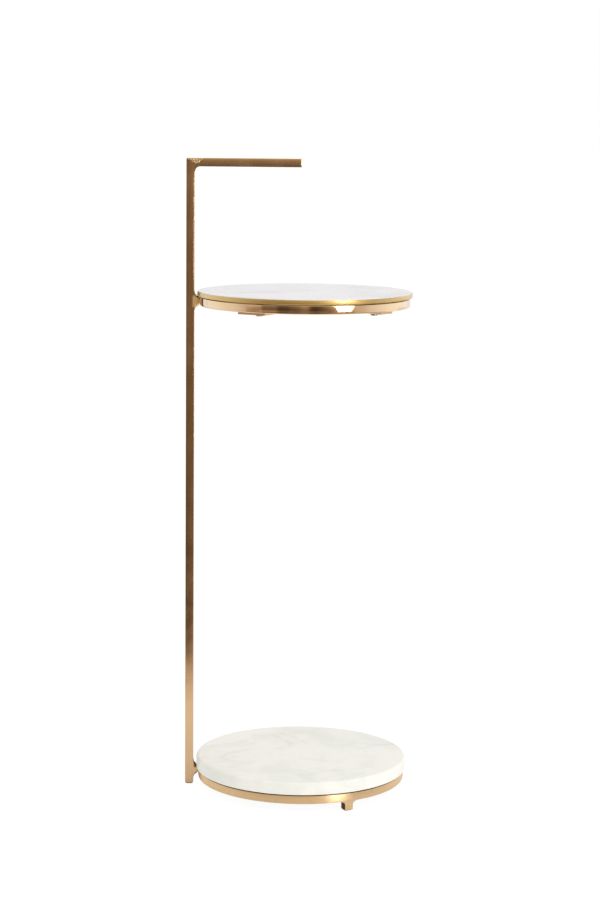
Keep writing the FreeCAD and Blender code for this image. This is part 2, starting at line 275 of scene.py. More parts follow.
class Paint:
    """A material's node tree, with short ways to add and join nodes."""

    def __init__(self, name):
        self.material = bpy.data.materials.new(name)
        self.material.use_nodes = True
        self.tree = self.material.node_tree
        self.tree.nodes.clear()
        self.place = self.add("ShaderNodeTexCoord").outputs["Object"]

    def add(self, kind, settings=None, inputs=None):
        made = self.tree.nodes.new(kind)
        for key, value in (settings or {}).items():
            setattr(made, key, value)
        for key, value in (inputs or {}).items():
            self.feed(made.inputs[key], value)
        return made

    def feed(self, socket, value):
        """Link a socket to another one, or set it to a plain value."""
        if isinstance(value, bpy.types.NodeSocket):
            self.tree.links.new(value, socket)
        else:
            socket.default_value = value

    def stretch(self, scale, turn=(0.0, 0.0, 0.0), shift=(0.0, 0.0, 0.0)):
        inputs = {"Vector": self.place, "Scale": scale, "Rotation": turn, "Location": shift}
        return self.add("ShaderNodeMapping", inputs=inputs).outputs["Vector"]

    def noise(self, scale, detail, roughness=0.5, distortion=0.0, at=None):
        inputs = {"Vector": at or self.place, "Scale": scale, "Detail": detail}
        inputs.update({"Roughness": roughness, "Distortion": distortion})
        return self.add("ShaderNodeTexNoise", inputs=inputs).outputs["Fac"]

    def ramp(self, fac, *stops):
        """A blend between two stops of (position, colour)."""
        made = self.add("ShaderNodeValToRGB", inputs={"Fac": fac})
        for item, (position, colour) in zip(made.color_ramp.elements, stops):
            item.position = position
            item.color = (*colour, 1.0)
        return made.outputs["Color"]

    def span(self, fac, low, high, to_low=0.0, to_high=1.0):
        """Map the range from low to high onto another, with soft ends."""
        inputs = {"Value": fac, "From Min": low, "From Max": high, "To Min": to_low, "To Max": to_high}
        made = self.add("ShaderNodeMapRange", {"interpolation_type": "SMOOTHSTEP"}, inputs)
        return made.outputs["Result"]

    def math(self, operation, first, second=0.0):
        made = self.add("ShaderNodeMath", {"operation": operation}, {0: first, 1: second})
        return made.outputs["Value"]

    def times(self, first, second):
        return self.math("MULTIPLY", first, second)

    def plus(self, first, second):
        return self.math("ADD", first, second)

    def mix(self, fac, first, second):
        """From one colour to another; the first may be a socket."""
        made = self.add("ShaderNodeMix", {"data_type": "RGBA"})
        self.feed(made.inputs["Factor"], fac)
        sockets = [s for s in made.inputs if s.type == "RGBA"]
        self.feed(sockets[0], first if isinstance(first, bpy.types.NodeSocket) else (*first, 1.0))
        self.feed(sockets[1], (*second, 1.0))
        return next(s for s in made.outputs if s.type == "RGBA")

    def mask(self, name):
        return self.add("ShaderNodeAttribute", {"attribute_name": name}).outputs["Fac"]

    def bump(self, height, strength, distance, under=None):
        inputs = {"Height": height, "Strength": strength, "Distance": distance}
        if under is not None:
            inputs["Normal"] = under
        return self.add("ShaderNodeBump", inputs=inputs).outputs["Normal"]

    def finish(self, colour, roughness, normal, others=None):
        """Add the shader; a value that is the same all over is set straight on its socket."""
        inputs = {"Base Color": colour, "Roughness": roughness, "Normal": normal, **(others or {})}
        shader = self.add("ShaderNodeBsdfPrincipled", inputs=inputs)
        self.add("ShaderNodeOutputMaterial", inputs={"Surface": shader.outputs["BSDF"]})
        return self.material


METAL = {"Metallic": 1.0}
STONE = {"IOR": 1.49}
# Painted shade: the dark colours mixed in where shade falls, in gaps, under parts and on tops that face
# away from the light.
PAINTED_SHADE = (0.055, 0.032, 0.015)
TRAY_PAINTED_SHADE = (0.085, 0.055, 0.02)
CAST_BRASS = (0.86, 0.64, 0.40)
FILED_BRASS = (1.0, 0.78, 0.45)
# How much rougher than the polished metal each of these is.
CAST_DULL = 0.26
FILED_DULL = 0.42
PAINTED_SHADE_DULL = 0.35


def brass(name, dark, light, rough, grain, masks=(), drawn=0.0, lacquer=None):
    """Solid brass: slow colour drift, streaks along the grain, fine pits and a polish that varies."""
    paint = Paint(name)
    drift = paint.noise(scale=38.0, detail=5.0, roughness=0.55)
    streak = paint.noise(scale=1.0, detail=4.0, roughness=0.6, at=paint.stretch(grain))
    pits = paint.noise(scale=900.0, detail=2.0, roughness=0.6)
    tone = paint.plus(paint.times(streak, 0.5), paint.times(drift, 0.5))
    colour = paint.ramp(tone, (0.3, dark), (0.7, light))
    polish = paint.span(tone, 0.3, 0.7, *rough)
    height = paint.plus(paint.times(pits, 0.3), streak)
    normal = paint.bump(height, strength=0.05, distance=0.00006)
    if "cast" in masks:
        cast = paint.mask("cast")
        grit = paint.noise(scale=900.0, detail=3.0, roughness=0.7)
        spots = paint.times(cast, paint.span(grit, 0.38, 0.54))
        colour = paint.mix(spots, colour, CAST_BRASS)
        polish = paint.plus(polish, paint.times(cast, CAST_DULL))
        normal = paint.bump(paint.times(grit, cast), strength=0.7, distance=0.0006, under=normal)
    if "filed" in masks:
        filed = paint.mask("filed")
        colour = paint.mix(filed, colour, FILED_BRASS)
        polish = paint.plus(polish, paint.times(filed, FILED_DULL))
    # Painted shade: where the mask asks, the colour goes dark brown and the metal rougher.
    if "painted_shade" in masks:
        painted_shade = paint.mask("painted_shade")
        colour = paint.mix(painted_shade, colour, PAINTED_SHADE)
        polish = paint.plus(polish, paint.times(painted_shade, PAINTED_SHADE_DULL))
    others = dict(METAL)
    if lacquer is not None:
        others.update({"Coat Weight": 1.0, "Coat Roughness": lacquer})
    if drawn:
        others.update(brushed_round(paint, drawn))
    return paint.finish(colour, polish, normal, others)


def brushed_round(paint, amount):
    """Brushing round the upright axis: highlights stretch up and down."""
    around = paint.add("ShaderNodeTangent", {"direction_type": "RADIAL", "axis": "Z"})
    return {"Anisotropic": amount, "Anisotropic Rotation": 0.25, "Tangent": around.outputs["Tangent"]}


def tray_brass():
    """Yellower metal, brushed round the rim, with lacquer that stops at the underside."""
    paint = Paint("brass_brushed_round")
    line = paint.noise(scale=1.0, detail=3.0, roughness=0.65, at=paint.stretch((9.0, 9.0, 5200.0)))
    band = paint.noise(scale=1.0, detail=3.0, roughness=0.6, at=paint.stretch((5.0, 5.0, 1300.0)))
    drift = paint.noise(scale=30.0, detail=4.0)
    tone = paint.plus(paint.times(line, 0.45), paint.times(band, 0.35))
    tone = paint.plus(tone, paint.times(drift, 0.2))
    colour = paint.ramp(tone, (0.32, (0.66, 0.455, 0.145)), (0.68, (0.87, 0.61, 0.23)))
    # Painted shade under the rim, from its mask.
    colour = paint.mix(paint.mask("painted_shade"), colour, TRAY_PAINTED_SHADE)
    polish = paint.span(tone, 0.3, 0.7, 0.42, 0.52)
    normal = paint.bump(line, strength=0.15, distance=0.0001)
    lacquer = {"Coat Weight": paint.mask("lacquer"), "Coat Roughness": 0.15}
    return paint.finish(colour, polish, normal, {**METAL, **lacquer, **brushed_round(paint, 0.6)})


def marble(name, body, cloud, vein, seed, rough, cloud_scale, vein_scale, vein_depth):
    """Crystalline stone: soft clouds, small mottling and a few thin broken veins."""
    paint = Paint(name)
    where = paint.stretch((1, 1, 1), (0.2, 0.1, 0.7 + seed), (seed, seed * 0.37, seed * 0.71))
    clouds = paint.noise(cloud_scale, detail=6.0, roughness=0.55, distortion=0.5, at=where)
    mottle = paint.noise(cloud_scale * 4.2, detail=5.0, roughness=0.6, distortion=0.3, at=where)
    ridge = paint.noise(vein_scale, detail=7.0, roughness=0.55, distortion=1.1, at=where)
    patch = paint.noise(vein_scale * 1.7, detail=3.0, at=where)
    grains = paint.add("ShaderNodeTexVoronoi", inputs={"Vector": where, "Scale": 900.0})
    crystal = grains.outputs["Distance"]
    line = paint.math("ABSOLUTE", paint.math("SUBTRACT", ridge, 0.5))
    line = paint.span(line, 0.0, 0.03, 1.0, 0.0)
    line = paint.times(line, paint.span(patch, 0.46, 0.64))
    haze = paint.plus(paint.times(clouds, 0.68), paint.times(mottle, 0.32))
    haze = paint.span(haze, 0.43, 0.66)
    colour = paint.mix(haze, body, cloud)
    colour = paint.mix(paint.times(line, vein_depth), colour, vein)
    polish = paint.span(paint.plus(haze, crystal), 0.0, 1.5, *rough)
    relief = paint.plus(paint.times(crystal, 0.3), line)
    normal = paint.bump(relief, strength=0.05, distance=0.00005)
    return paint.finish(colour, polish, normal, STONE)


def plated_steel():
    """Zinc on the screws: patchy, and a little rough."""
    paint = Paint("steel_zinc_plated")
    drift = paint.noise(scale=260.0, detail=4.0, roughness=0.6)
    fine = paint.noise(scale=2600.0, detail=2.0)
    colour = paint.ramp(drift, (0.3, (0.40, 0.37, 0.33)), (0.7, (0.58, 0.54, 0.48)))
    polish = paint.span(fine, 0.3, 0.7, 0.24, 0.40)
    normal = paint.bump(fine, strength=0.15, distance=0.00005)
    return paint.finish(colour, polish, normal, METAL)


def soft_pad(name, dark, light, grain, rough):
    """Rubber or felt: fine grain over a slow drift."""
    paint = Paint(name)
    fibre = paint.noise(grain, detail=4.0, roughness=0.7)
    drift = paint.noise(grain * 0.12, detail=3.0)
    tone = paint.plus(paint.times(fibre, 0.7), paint.times(drift, 0.3))
    colour = paint.ramp(tone, (0.3, dark), (0.7, light))
    polish = paint.span(tone, 0.2, 0.8, *rough)
    normal = paint.bump(fibre, strength=0.5, distance=0.0002)
    return paint.finish(colour, polish, normal)


# How the grain is stretched: upright, along the handle and round a ring.
UPRIGHT = (190.0, 190.0, 9.0)
LENGTHWAYS = (9.0, 190.0, 190.0)
AROUND = (14.0, 14.0, 420.0)
FRAME_TONES = {"dark": (0.64, 0.425, 0.24), "light": (0.78, 0.54, 0.32)}

POST_BRASS = brass(
    "brass_post", **FRAME_TONES,
    rough=(0.16, 0.27), grain=UPRIGHT, masks=("cast", "filed", "painted_shade"),
)
HANDLE_BRASS = brass(
    "brass_handle", dark=(0.59, 0.40, 0.235), light=(0.73, 0.51, 0.31),
    rough=(0.18, 0.29), grain=LENGTHWAYS, masks=("cast", "painted_shade"),
)
FOOT_BRASS = brass(
    "brass_foot", dark=(0.67, 0.455, 0.245), light=(0.79, 0.565, 0.325),
    rough=(0.24, 0.34), grain=UPRIGHT, masks=("cast",),
)
RING_BRASS = brass(
    "brass_ring", dark=(0.83, 0.595, 0.345), light=(0.94, 0.705, 0.445),
    rough=(0.05, 0.10), grain=AROUND, masks=("painted_shade",), lacquer=0.04,
)
BASE_RING_BRASS = brass(
    "brass_base_ring", dark=(0.79, 0.54, 0.295), light=(0.93, 0.67, 0.39),
    rough=(0.36, 0.44), grain=AROUND, masks=("painted_shade",), drawn=0.95,
)
PLATE_BRASS = brass("brass_plate", **FRAME_TONES, rough=(0.22, 0.36), grain=(120.0, 30.0, 120.0))
TURNED_BRASS = brass(
    "brass_turned", dark=(0.66, 0.47, 0.20), light=(0.80, 0.60, 0.30),
    rough=(0.18, 0.30), grain=(20.0, 20.0, 2200.0),
)
TRAY_BRASS = tray_brass()
TOP_MARBLE = marble(
    "marble_top", body=(0.88, 0.857, 0.862), cloud=(0.74, 0.715, 0.732), vein=(0.475, 0.46, 0.485),
    seed=1.9, rough=(0.12, 0.24), cloud_scale=9.0, vein_scale=7.0, vein_depth=0.36,
)
BASE_MARBLE = marble(
    "marble_base", body=(0.94, 0.927, 0.858), cloud=(0.86, 0.863, 0.79), vein=(0.67, 0.69, 0.61),
    seed=4.3, rough=(0.26, 0.42), cloud_scale=15.0, vein_scale=9.0, vein_depth=0.3,
)
SCREW_STEEL = plated_steel()
RUBBER = soft_pad(
    "rubber_black", dark=(0.012, 0.012, 0.012), light=(0.035, 0.034, 0.033),
    grain=900.0, rough=(0.55, 0.75),
)
FELT = soft_pad(
    "felt_brown", dark=(0.10, 0.070, 0.045), light=(0.22, 0.165, 0.115),
    grain=1500.0, rough=(0.85, 0.98),
)


# The brass frame.


def finish_piece(obj, material, slot, *nodes):
    """Give a mesh its material, and let it stand for its CAD nodes."""
    obj.data.materials.append(material)
    even_normals(obj)
    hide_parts(*nodes)
    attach(obj, BODY)
    return obj


def stations(start, end, step, extra=()):
    """Even stops along a bar, with closer ones where asked."""
    stops = set(np.round(np.linspace(start, end, max(2, int(round((end - start) / step)) + 1)), 4))
    stops.update(round(float(stop), 4) for stop in extra)
    return sorted(stops)


# The slight unevenness of a hand-finished bar: the depth, length and seed of its waves.
SKIN_WAVE = ((0.05, 25.0, 1.0), (0.02, 6.5, 2.0))


def skin_wave(points):
    return sum(deep * lumps(points, length, seed) for deep, length, seed in SKIN_WAVE)


def dents(points, share):
    """The pitted surface of rough metal."""
    return share * 0.2 * lumps(points, 1.7, 3.0)


WELD_REACH = 8.4


def weld_patch(points, top, corner):
    """Rough metal over the mitre: deepest above the inside corner, with a ragged lower border."""
    x, z = points[:, 0], points[:, 2]
    away = np.abs(x - corner - 0.8) / WELD_REACH
    border = top - 4.8 * np.clip(1.3 - away, 0.0, 1.0) + 4.4 * (lumps(points, 2.2, 5.0) - 0.5)
    return 0.8 * smooth_step(z, border - 0.6, border + 0.6) * (1.0 - smooth_step(away, 0.85, 1.1))


FILED_REACH = 3.4


def filed_patch(along, off):
    """Where a lug was filed smooth, onto the post's front and back; along starts at the post's side."""
    return smooth_step(along, -FILED_REACH, -0.4) * (1.0 - smooth_step(np.abs(off), 4.2, 7.6))


# Above the tabletop the post's front right edge is worn ragged and shows rough metal.
WORN_EDGE = (530.0, 636.0, 8.0)
WORN_RIM = (532.0, 640.0, 6.0)
WORN_DEPTH = 0.55


def make_post():
    """The upright bar, with slightly bowed faces."""
    low, high = box_mm("post")
    foot_round, crown, top_round, edge = 0.5, 1.5, 0.45, 0.35
    near_foot = edge_stops(low[2], foot_round, 6)
    near_top = edge_stops(high[2], -crown, 10)
    near_weld = list(np.arange(high[2] - 8.0, high[2] - crown, 0.5))
    loops = []
    for z in stations(low[2] + foot_round, high[2] - crown, 1.5, near_foot + near_weld + near_top):
        at_foot = drawn_in(z - low[2], foot_round)
        x0 = low[0] + max(at_foot, drawn_in(high[2] - z, crown))
        x1 = high[0] - at_foot
        y_in = max(at_foot, drawn_in(high[2] - z, top_round))
        ragged = 0.5 + 0.5 * noise.noise(Vector((0.0, 3.0, z / 5.0)))
        worn = edge + WORN_DEPTH * ragged * float(window(z, *WORN_EDGE))
        section = rounded_rect(x0, x1, low[1] + y_in, high[1] - y_in, (edge, worn, edge, edge))
        loops.append([(x, y, z) for x, y in section])
    obj = skin("post_cast", loops)
    points, normals = read_points(obj)
    x, y, z = points.T
    from_edge = np.hypot(x - high[0], y - low[1])
    rim = (1.0 - smooth_step(from_edge, 0.8, 2.8)) * window(z, *WORN_RIM)
    weld = weld_patch(points, high[2], high[0])
    cast = np.clip(0.8 * rim * lumps(points, 4.0, 11.0) + weld, 0.0, 1.0)
    mark(obj, "cast", cast)
    mark(obj, "filed", filed_patch(x - high[0], z - middle("upper_lug")[2]))
    across = (x - (low[0] + high[0]) / 2) / (high[0] - low[0]) * 2
    bow = 0.07 * across**2 * np.abs(normals[:, 1])
    press_in(obj, skin_wave(points) + bow + dents(points, cast))
    finish_piece(obj, POST_BRASS, "frame_brass", "post")


def make_handle():
    """The bar on top of the post, with a fillet under its root; its faces are slightly bowed."""
    low, high = box_mm("handle_bar")
    under = high[2] - HANDLE_HEIGHT
    edge = 0.9
    fillet_end = low[0] + WELD_TOE + HANDLE_FILLET
    near_root = list(np.arange(low[0] - SINK, fillet_end + 8.0, 0.55))
    near_end = edge_stops(high[0], -edge, 6)
    corners = (0.6, 0.6, 0.45, 0.45)
    loops = []
    for x in stations(low[0] - SINK, high[0] - edge, 1.5, near_root + near_end):
        along = x - low[0] - WELD_TOE
        rise = 0.0 if along <= 0 else HANDLE_FILLET
        if 0 < along < HANDLE_FILLET:
            rise = math.sqrt(HANDLE_FILLET**2 - (HANDLE_FILLET - along) ** 2)
        z0 = under - HANDLE_FILLET + rise
        inset = drawn_in(high[0] - x, edge)
        section = rounded_rect(low[1] + inset, high[1] - inset, z0 + inset, high[2] - inset, corners)
        loops.append([(x, y, z) for y, z in section])
    obj = skin("handle_cast", loops)
    points, normals = read_points(obj)
    x, z = points[:, 0], points[:, 2]
    weld = weld_patch(points, high[2], low[0])
    mark(obj, "cast", weld)
    # Painted shade on the underside of the bar, beyond the fillet.
    underside = 1.0 - smooth_step(z - under, 0.4, 2.8)
    mark(obj, "painted_shade", 0.42 * underside * smooth_step(x, fillet_end - 2.0, fillet_end + 6.0))
    across = np.clip((z - (under + high[2]) / 2) / HANDLE_HEIGHT * 2, -1.0, 1.0)
    clear = smooth_step(x, low[0], fillet_end + 4.0)
    bow = 0.22 * across**2 * np.abs(normals[:, 1]) * clear
    press_in(obj, skin_wave(points) + bow + dents(points, weld))
    finish_piece(obj, HANDLE_BRASS, "frame_brass", "handle_bar")


# How squarely the flare of a lug stops at the post's front and back.
LUG_SQUARING = 12


def make_lug(name, node, ring, disc, filed):
    """A round neck, flared like a trumpet at the post, filed smooth and clear of the disc above."""
    low, high = box_mm(node)
    _, ring_high = box_mm(ring)
    disc_low, _ = box_mm(disc)
    post_low, post_high = box_mm("post")
    ring_radius = radius_of(ring)
    mid = (low[2] + high[2]) / 2
    depth = (post_high[1] - post_low[1]) / 2
    mouth = WELD_TOE + LUG_FLARE_LENGTH
    tip = DISC_X - ring_radius - low[0] + SINK
    clear = disc_low[0] - low[0] - LUG_RELIEF
    root = LUG_COLLAR + LUG_FLARE
    mouth_radius = root - math.sqrt(LUG_FLARE**2 - (LUG_FLARE - LUG_FLARE_LENGTH) ** 2)
    turns = np.linspace(0.0, 2 * math.pi, LUG_SEGMENTS, endpoint=False)
    near_mouth = (mouth - 0.06, mouth, mouth + 0.06, mouth + 0.12)
    loops = []
    for along in stations(-SINK, tip, 0.2, near_mouth):
        gap = min(max(along - WELD_TOE, 0.0), LUG_FLARE_LENGTH)
        radius = root - math.sqrt(LUG_FLARE**2 - (LUG_FLARE - gap) ** 2)
        radius -= (mouth_radius - LUG_NECK) * float(smooth_step(along, mouth - 0.02, mouth + 0.25))
        roof = ring_high[2] - mid + root * (1.0 - float(smooth_step(along, clear - 0.6, clear)))
        share = float(smooth_step(along, mouth + 0.2, tip))
        loop = []
        for turn in turns:
            y = radius * math.cos(turn)
            z = min(radius * math.sin(turn), roof)
            y /= (1.0 + abs(y / depth) ** LUG_SQUARING) ** (1 / LUG_SQUARING)
            face = DISC_X - math.sqrt(ring_radius**2 - y * y) + SINK
            loop.append((low[0] + along + (face - low[0] - tip) * share, y, mid + z))
        loops.append(loop)
    obj = skin(name, loops)
    points, normals = read_points(obj)
    along, off = points[:, 0] - low[0], points[:, 2] - mid
    near_post = 1.0 - smooth_step(along, 0.5, 3.0)
    flared = smooth_step(np.abs(off), 4.0, 7.0)
    mark(obj, "cast", 0.3 * near_post * lumps(points, 2.4, 8.0) * flared)
    mark(obj, "filed", filed_patch(along, off) * filed)
    # Painted shade: upward faces, and the part above the neck where it was not filed, are darkened.
    facing_up = smooth_step(normals[:, 2], 0.35, 0.75)
    sheltered = (1.0 - filed) * smooth_step(off, 0.5, 3.5) * smooth_step(along, 0.0, 1.6)
    mark(obj, "painted_shade", 0.74 * np.maximum(facing_up, sheltered))
    press_in(obj, skin_wave(points))
    finish_piece(obj, POST_BRASS, "frame_brass", node)


def make_ring(name, node, material, crown, heel, shade_band, shade_depth):
    """A square-section hoop, turned and polished: its outer face is slightly crowned."""
    low, high = box_mm(node)
    radius = radius_of(node)
    bore = radius - RING_WIDTH
    edge, inner_edge, flat = RING_EDGE, 0.7, 0.4
    z0, z1 = low[2] + heel, high[2] - edge
    mid, half = (z0 + z1) / 2, (z1 - z0) / 2
    profile = [(radius - crown * t * t, mid + half * t) for t in np.linspace(-1.0, 1.0, 17)]
    lean = math.atan(2 * crown / half)
    hub, heel_hub = (radius - crown - r * math.cos(lean) for r in (edge, heel))
    top = z1 + edge * (1.0 - math.sin(lean))
    foot = z0 - heel * (1.0 - math.sin(lean))
    lean = math.degrees(lean)
    profile += arc((hub, top - edge), edge, lean, 90.0, 8)[1:]
    profile += [(hub - flat, top), (bore + inner_edge + flat, top)]
    profile += arc((bore + inner_edge, top - inner_edge), inner_edge, 90.0, 180.0, 6)
    profile += [(bore, top - inner_edge - flat), (bore, foot + inner_edge + flat)]
    profile += arc((bore + inner_edge, foot + inner_edge), inner_edge, 180.0, 270.0, 6)
    profile += [(bore + inner_edge + flat, foot), (heel_hub - flat, foot)]
    profile += arc((heel_hub, foot + heel), heel, 270.0, 360.0 - lean, 8)[:-1]
    obj = lathe(name, profile, DISC_AXIS, DISC_SEGMENTS)
    points, normals = read_points(obj)
    # Painted shade: a dark band on the upward faces near the ring's top, under the disc that sits on
    # it.
    high_up = smooth_step(points[:, 2], top - shade_band[0], top - shade_band[1])
    painted_shade = smooth_step(normals[:, 2], 0.15, 0.5) * high_up
    mark(obj, "painted_shade", shade_depth * painted_shade * smooth_step(from_axis(points), bore - 1.0, bore + 0.5))
    press_in(obj, 0.06 * lumps(points, 42.0, 1.0) + 0.012 * lumps(points, 11.0, 4.0))
    finish_piece(obj, material, "frame_brass", node)


def about_axis(points, angle):
    """From (outwards, sideways, up) at a foot to the part's frame."""
    turn = math.radians(angle)
    c, s = math.cos(turn), math.sin(turn)
    return [(DISC_X + r * c - t * s, r * s + t * c, z) for r, t, z in points]


def make_foot(name, node, angle):
    """A short leg as deep as the ring, flared into it, flush with its face and worn at the floor."""
    low, high = box_mm(node)
    radius = radius_of("base_ring")
    outer, inner = radius - 0.26, radius - RING_WIDTH
    half, edge, sole, lap, lap_round = FOOT_WIDTH / 2, 0.4, 0.5, 1.8, 4.0
    flare_top = high[2] - WELD_TOE
    near_floor = edge_stops(low[2], sole, 6)
    near_ring = np.arange(flare_top - FOOT_FLARE, high[2] + lap, 0.15)
    loops = []
    for z in stations(low[2] + sole, high[2] + lap, 0.5, near_floor + list(near_ring)):
        gap = z - (flare_top - FOOT_FLARE)
        grow = 0.0 if gap <= 0 else FOOT_FLARE
        if 0 < gap < FOOT_FLARE:
            grow = FOOT_FLARE - math.sqrt(FOOT_FLARE**2 - gap**2)
        over = min(1.0, max(0.0, (z - high[2]) / lap))
        grow -= lap_round * over * over
        inset = drawn_in(z - low[2], sole)
        buried = SINK * float(smooth_step(z, high[2] - 0.1, high[2] + 0.5))
        wide = half + grow - inset
        section = rounded_rect(inner + inset + buried, outer - inset, -wide, wide, (edge,) * 4)
        bowed = []
        for r, t in section:
            share = (r - inner) / (outer - inner)
            bowed.append((r - share * (outer - math.sqrt(outer**2 - t * t)), t, z))
        loops.append(about_axis(bowed, angle))
    obj = skin(name, loops)
    points, _ = read_points(obj)
    worn = 1.0 - smooth_step(points[:, 2], high[2] - 2.0, high[2] - 0.5)
    mark(obj, "cast", 0.3 * worn * lumps(points, 2.0, 7.0))
    press_in(obj, 0.07 * worn * lumps(points, 5.0, 3.0))
    finish_piece(obj, FOOT_BRASS, "frame_brass", node)


# The side of a felt pad and of a rubber washer: the share of the height, and the inset there.
PAD_SIDE = ((0.0, 0.32), (0.1, 0.14), (0.25, 0.04), (0.5, 0.0), (0.75, 0.03), (0.9, 0.1), (1.0, 0.24))
WASHER_SIDE = ((0.0, 0.25), (0.12, 0.1), (0.3, 0.02), (0.5, 0.0), (0.7, 0.02), (0.88, 0.1), (1.0, 0.25))
PAD_CORNER = 0.9


def make_glide(name, node, a0, a1, b0, b1, angle=None):
    """A thin felt pad: soft edges and a slightly uneven outline; an angle turns it under a foot."""
    low, high = box_mm(node)
    loops = []
    for share, inset in PAD_SIDE:
        z = low[2] + (high[2] - low[2]) * share
        section = rounded_rect(a0 + inset, a1 - inset, b0 + inset, b1 - inset, (PAD_CORNER,) * 4)
        loop = [(a, b, z) for a, b in section]
        loops.append(loop if angle is None else about_axis(loop, angle))
    obj = skin(name, loops)
    points, normals = read_points(obj)
    side = 1.0 - np.abs(normals[:, 2])
    press_in(obj, 0.18 * side * lumps(points, 0.9, 2.0))
    finish_piece(obj, FELT, "felt", node)


def make_glides():
    low, high = box_mm("post_glide")
    make_glide("post_glide_felt", "post_glide", low[0], high[0], low[1], high[1])
    radius = radius_of("base_ring")
    r0, r1 = radius - RING_WIDTH + GLIDE_INSET, radius - RING_EDGE - GLIDE_INSET
    half = FOOT_WIDTH / 2 - GLIDE_INSET
    for end, angle in FEET:
        make_glide(f"{end}_glide_felt", f"{end}_glide", r0, r1, -half, half, angle)


# The discs. A few loops on their flat faces keep the triangles there from growing too long.
TRAY_LOOP = 40.0
STONE_LOOP = 60.0
TOP_LOOPS = (0.95, 0.85, 0.7, 0.5, 0.3, 0.1, 0.0)
SLAB_LOOPS = (0.94, 0.85, 0.7, 0.5, 0.3, 0.1, 0.0)


def make_tray():
    """A shallow pan with a crowned rim; its heel is rounded and dull below."""
    low, high = box_mm("top_tray")
    radius = radius_of("top_tray")
    inner = radius - TRAY_WALL
    heel, lip, crown, gap = 0.9, 0.2, 0.15, 0.1
    z0, z1 = low[2], high[2]
    band = z1 - lip - gap - (z0 + heel + gap)
    profile = [(0.0, z0), (TRAY_LOOP, z0), (radius - crown - heel - 0.5, z0)]
    profile += arc((radius - crown - heel, z0 + heel), heel, 270.0, 355.0, 6)
    for share in np.linspace(0.0, 1.0, 11):
        profile.append((radius - crown * (2 * share - 1) ** 2, z0 + heel + gap + band * share))
    profile += arc((radius - crown - lip, z1 - lip), lip, 5.0, 90.0, 5)
    profile += arc((inner + lip, z1 - lip), lip, 90.0, 180.0, 5)
    profile += [(inner, z1 - lip - 0.3), (inner, z0 + TRAY_FLOOR), (inner - 1.0, z0 + TRAY_FLOOR)]
    profile += [(TRAY_LOOP, z0 + TRAY_FLOOR), (0.0, z0 + TRAY_FLOOR)]
    obj = lathe("top_tray_brushed", profile, DISC_AXIS, DISC_SEGMENTS)
    points, normals = read_points(obj)
    side = np.clip(1.0 - np.abs(normals[:, 2]), 0.0, 1.0)
    below = smooth_step(-normals[:, 2], 0.5, 0.95)
    # Painted shade on the downward faces near the rim.
    mark(obj, "painted_shade", 0.48 * below * smooth_step(from_axis(points), radius - 16.0, radius - 9.0))
    mark(obj, "lacquer", 1.0 - smooth_step(-normals[:, 2], 0.02, 0.3))
    press_in(obj, 0.05 * side * lumps(points, 38.0, 9.0))
    finish_piece(obj, TRAY_BRASS, "tray_brass", "top_tray")


def make_top_stone():
    """The inlay: a thin disc with a small arris, chipped very slightly."""
    low, high = box_mm("top_stone")
    radius = radius_of("top_stone")
    foot = 0.3
    z0, z1 = low[2], high[2]
    profile = [(0.0, z0), (STONE_LOOP, z0), (radius - 0.7, z0)]
    profile += arc((radius - foot, z0 + foot), foot, 270.0, 360.0, 3)
    profile += [(radius, z0 + 0.6), (radius, z1 - STONE_ARRIS - 0.3)]
    profile += arc((radius - STONE_ARRIS, z1 - STONE_ARRIS), STONE_ARRIS, 0.0, 90.0, 7)
    profile += [(radius - STONE_ARRIS - 0.5, z1)]
    profile += [(radius * share, z1) for share in TOP_LOOPS]
    obj = lathe("top_stone_marble", profile, DISC_AXIS, DISC_SEGMENTS)
    points, _ = read_points(obj)
    arris = smooth_step(from_axis(points), radius - 1.4, radius - 0.4)
    press_in(obj, 0.10 * arris * lumps(points, 4.0, 3.0))
    return finish_piece(obj, TOP_MARBLE, "top_marble", "top_stone")


def make_base_stone():
    """The slab: a thick disc with a rounded upper edge, slightly out of round."""
    low, high = box_mm("base_stone")
    radius = radius_of("base_stone")
    z0, z1 = low[2], high[2]
    profile = [(0.0, z0), (STONE_LOOP, z0), (radius - SLAB_ARRIS - 0.5, z0)]
    profile += arc((radius - SLAB_ARRIS, z0 + SLAB_ARRIS), SLAB_ARRIS, 270.0, 360.0, 6)
    profile += [(radius, z) for z in np.linspace(z0 + SLAB_ARRIS + 0.4, z1 - SLAB_ROUND - 0.4, 7)]
    profile += arc((radius - SLAB_ROUND, z1 - SLAB_ROUND), SLAB_ROUND, 0.0, 90.0, 12)
    profile += [(radius - SLAB_ROUND - 0.7, z1)]
    profile += [(radius * share, z1) for share in SLAB_LOOPS]
    obj = lathe("base_stone_marble", profile, DISC_AXIS, DISC_SEGMENTS)
    points, _ = read_points(obj)
    edge = smooth_step(from_axis(points), radius - 6.0, radius - 1.0)
    press_in(obj, 0.22 * edge * lumps(points, 15.0, 3.0) + 0.05 * edge * lumps(points, 4.0, 5.0))
    return finish_piece(obj, BASE_MARBLE, "base_marble", "base_stone")


def make_cushion(corner):
    """A rubber washer, bulged a little by the slab's weight."""
    node = f"base_cushion_{corner}"
    low, high = box_mm(node)
    centre = middle(node)
    radius = radius_of(node)
    bore = WASHER_BORE
    z0, z1 = low[2], high[2]
    profile = [(radius - inset, z0 + (z1 - z0) * share) for share, inset in WASHER_SIDE]
    profile += [(radius - 0.6, z1), (bore + 0.4, z1), (bore + 0.15, z1 - 0.1), (bore, z1 - 0.3)]
    profile += [(bore, z0 + 0.3), (bore + 0.15, z0 + 0.1), (bore + 0.4, z0), (radius - 0.6, z0)]
    obj = lathe(f"base_washer_{corner}", profile, (centre[0], centre[1]), WASHER_SEGMENTS)
    finish_piece(obj, RUBBER, "cushion_rubber", node)


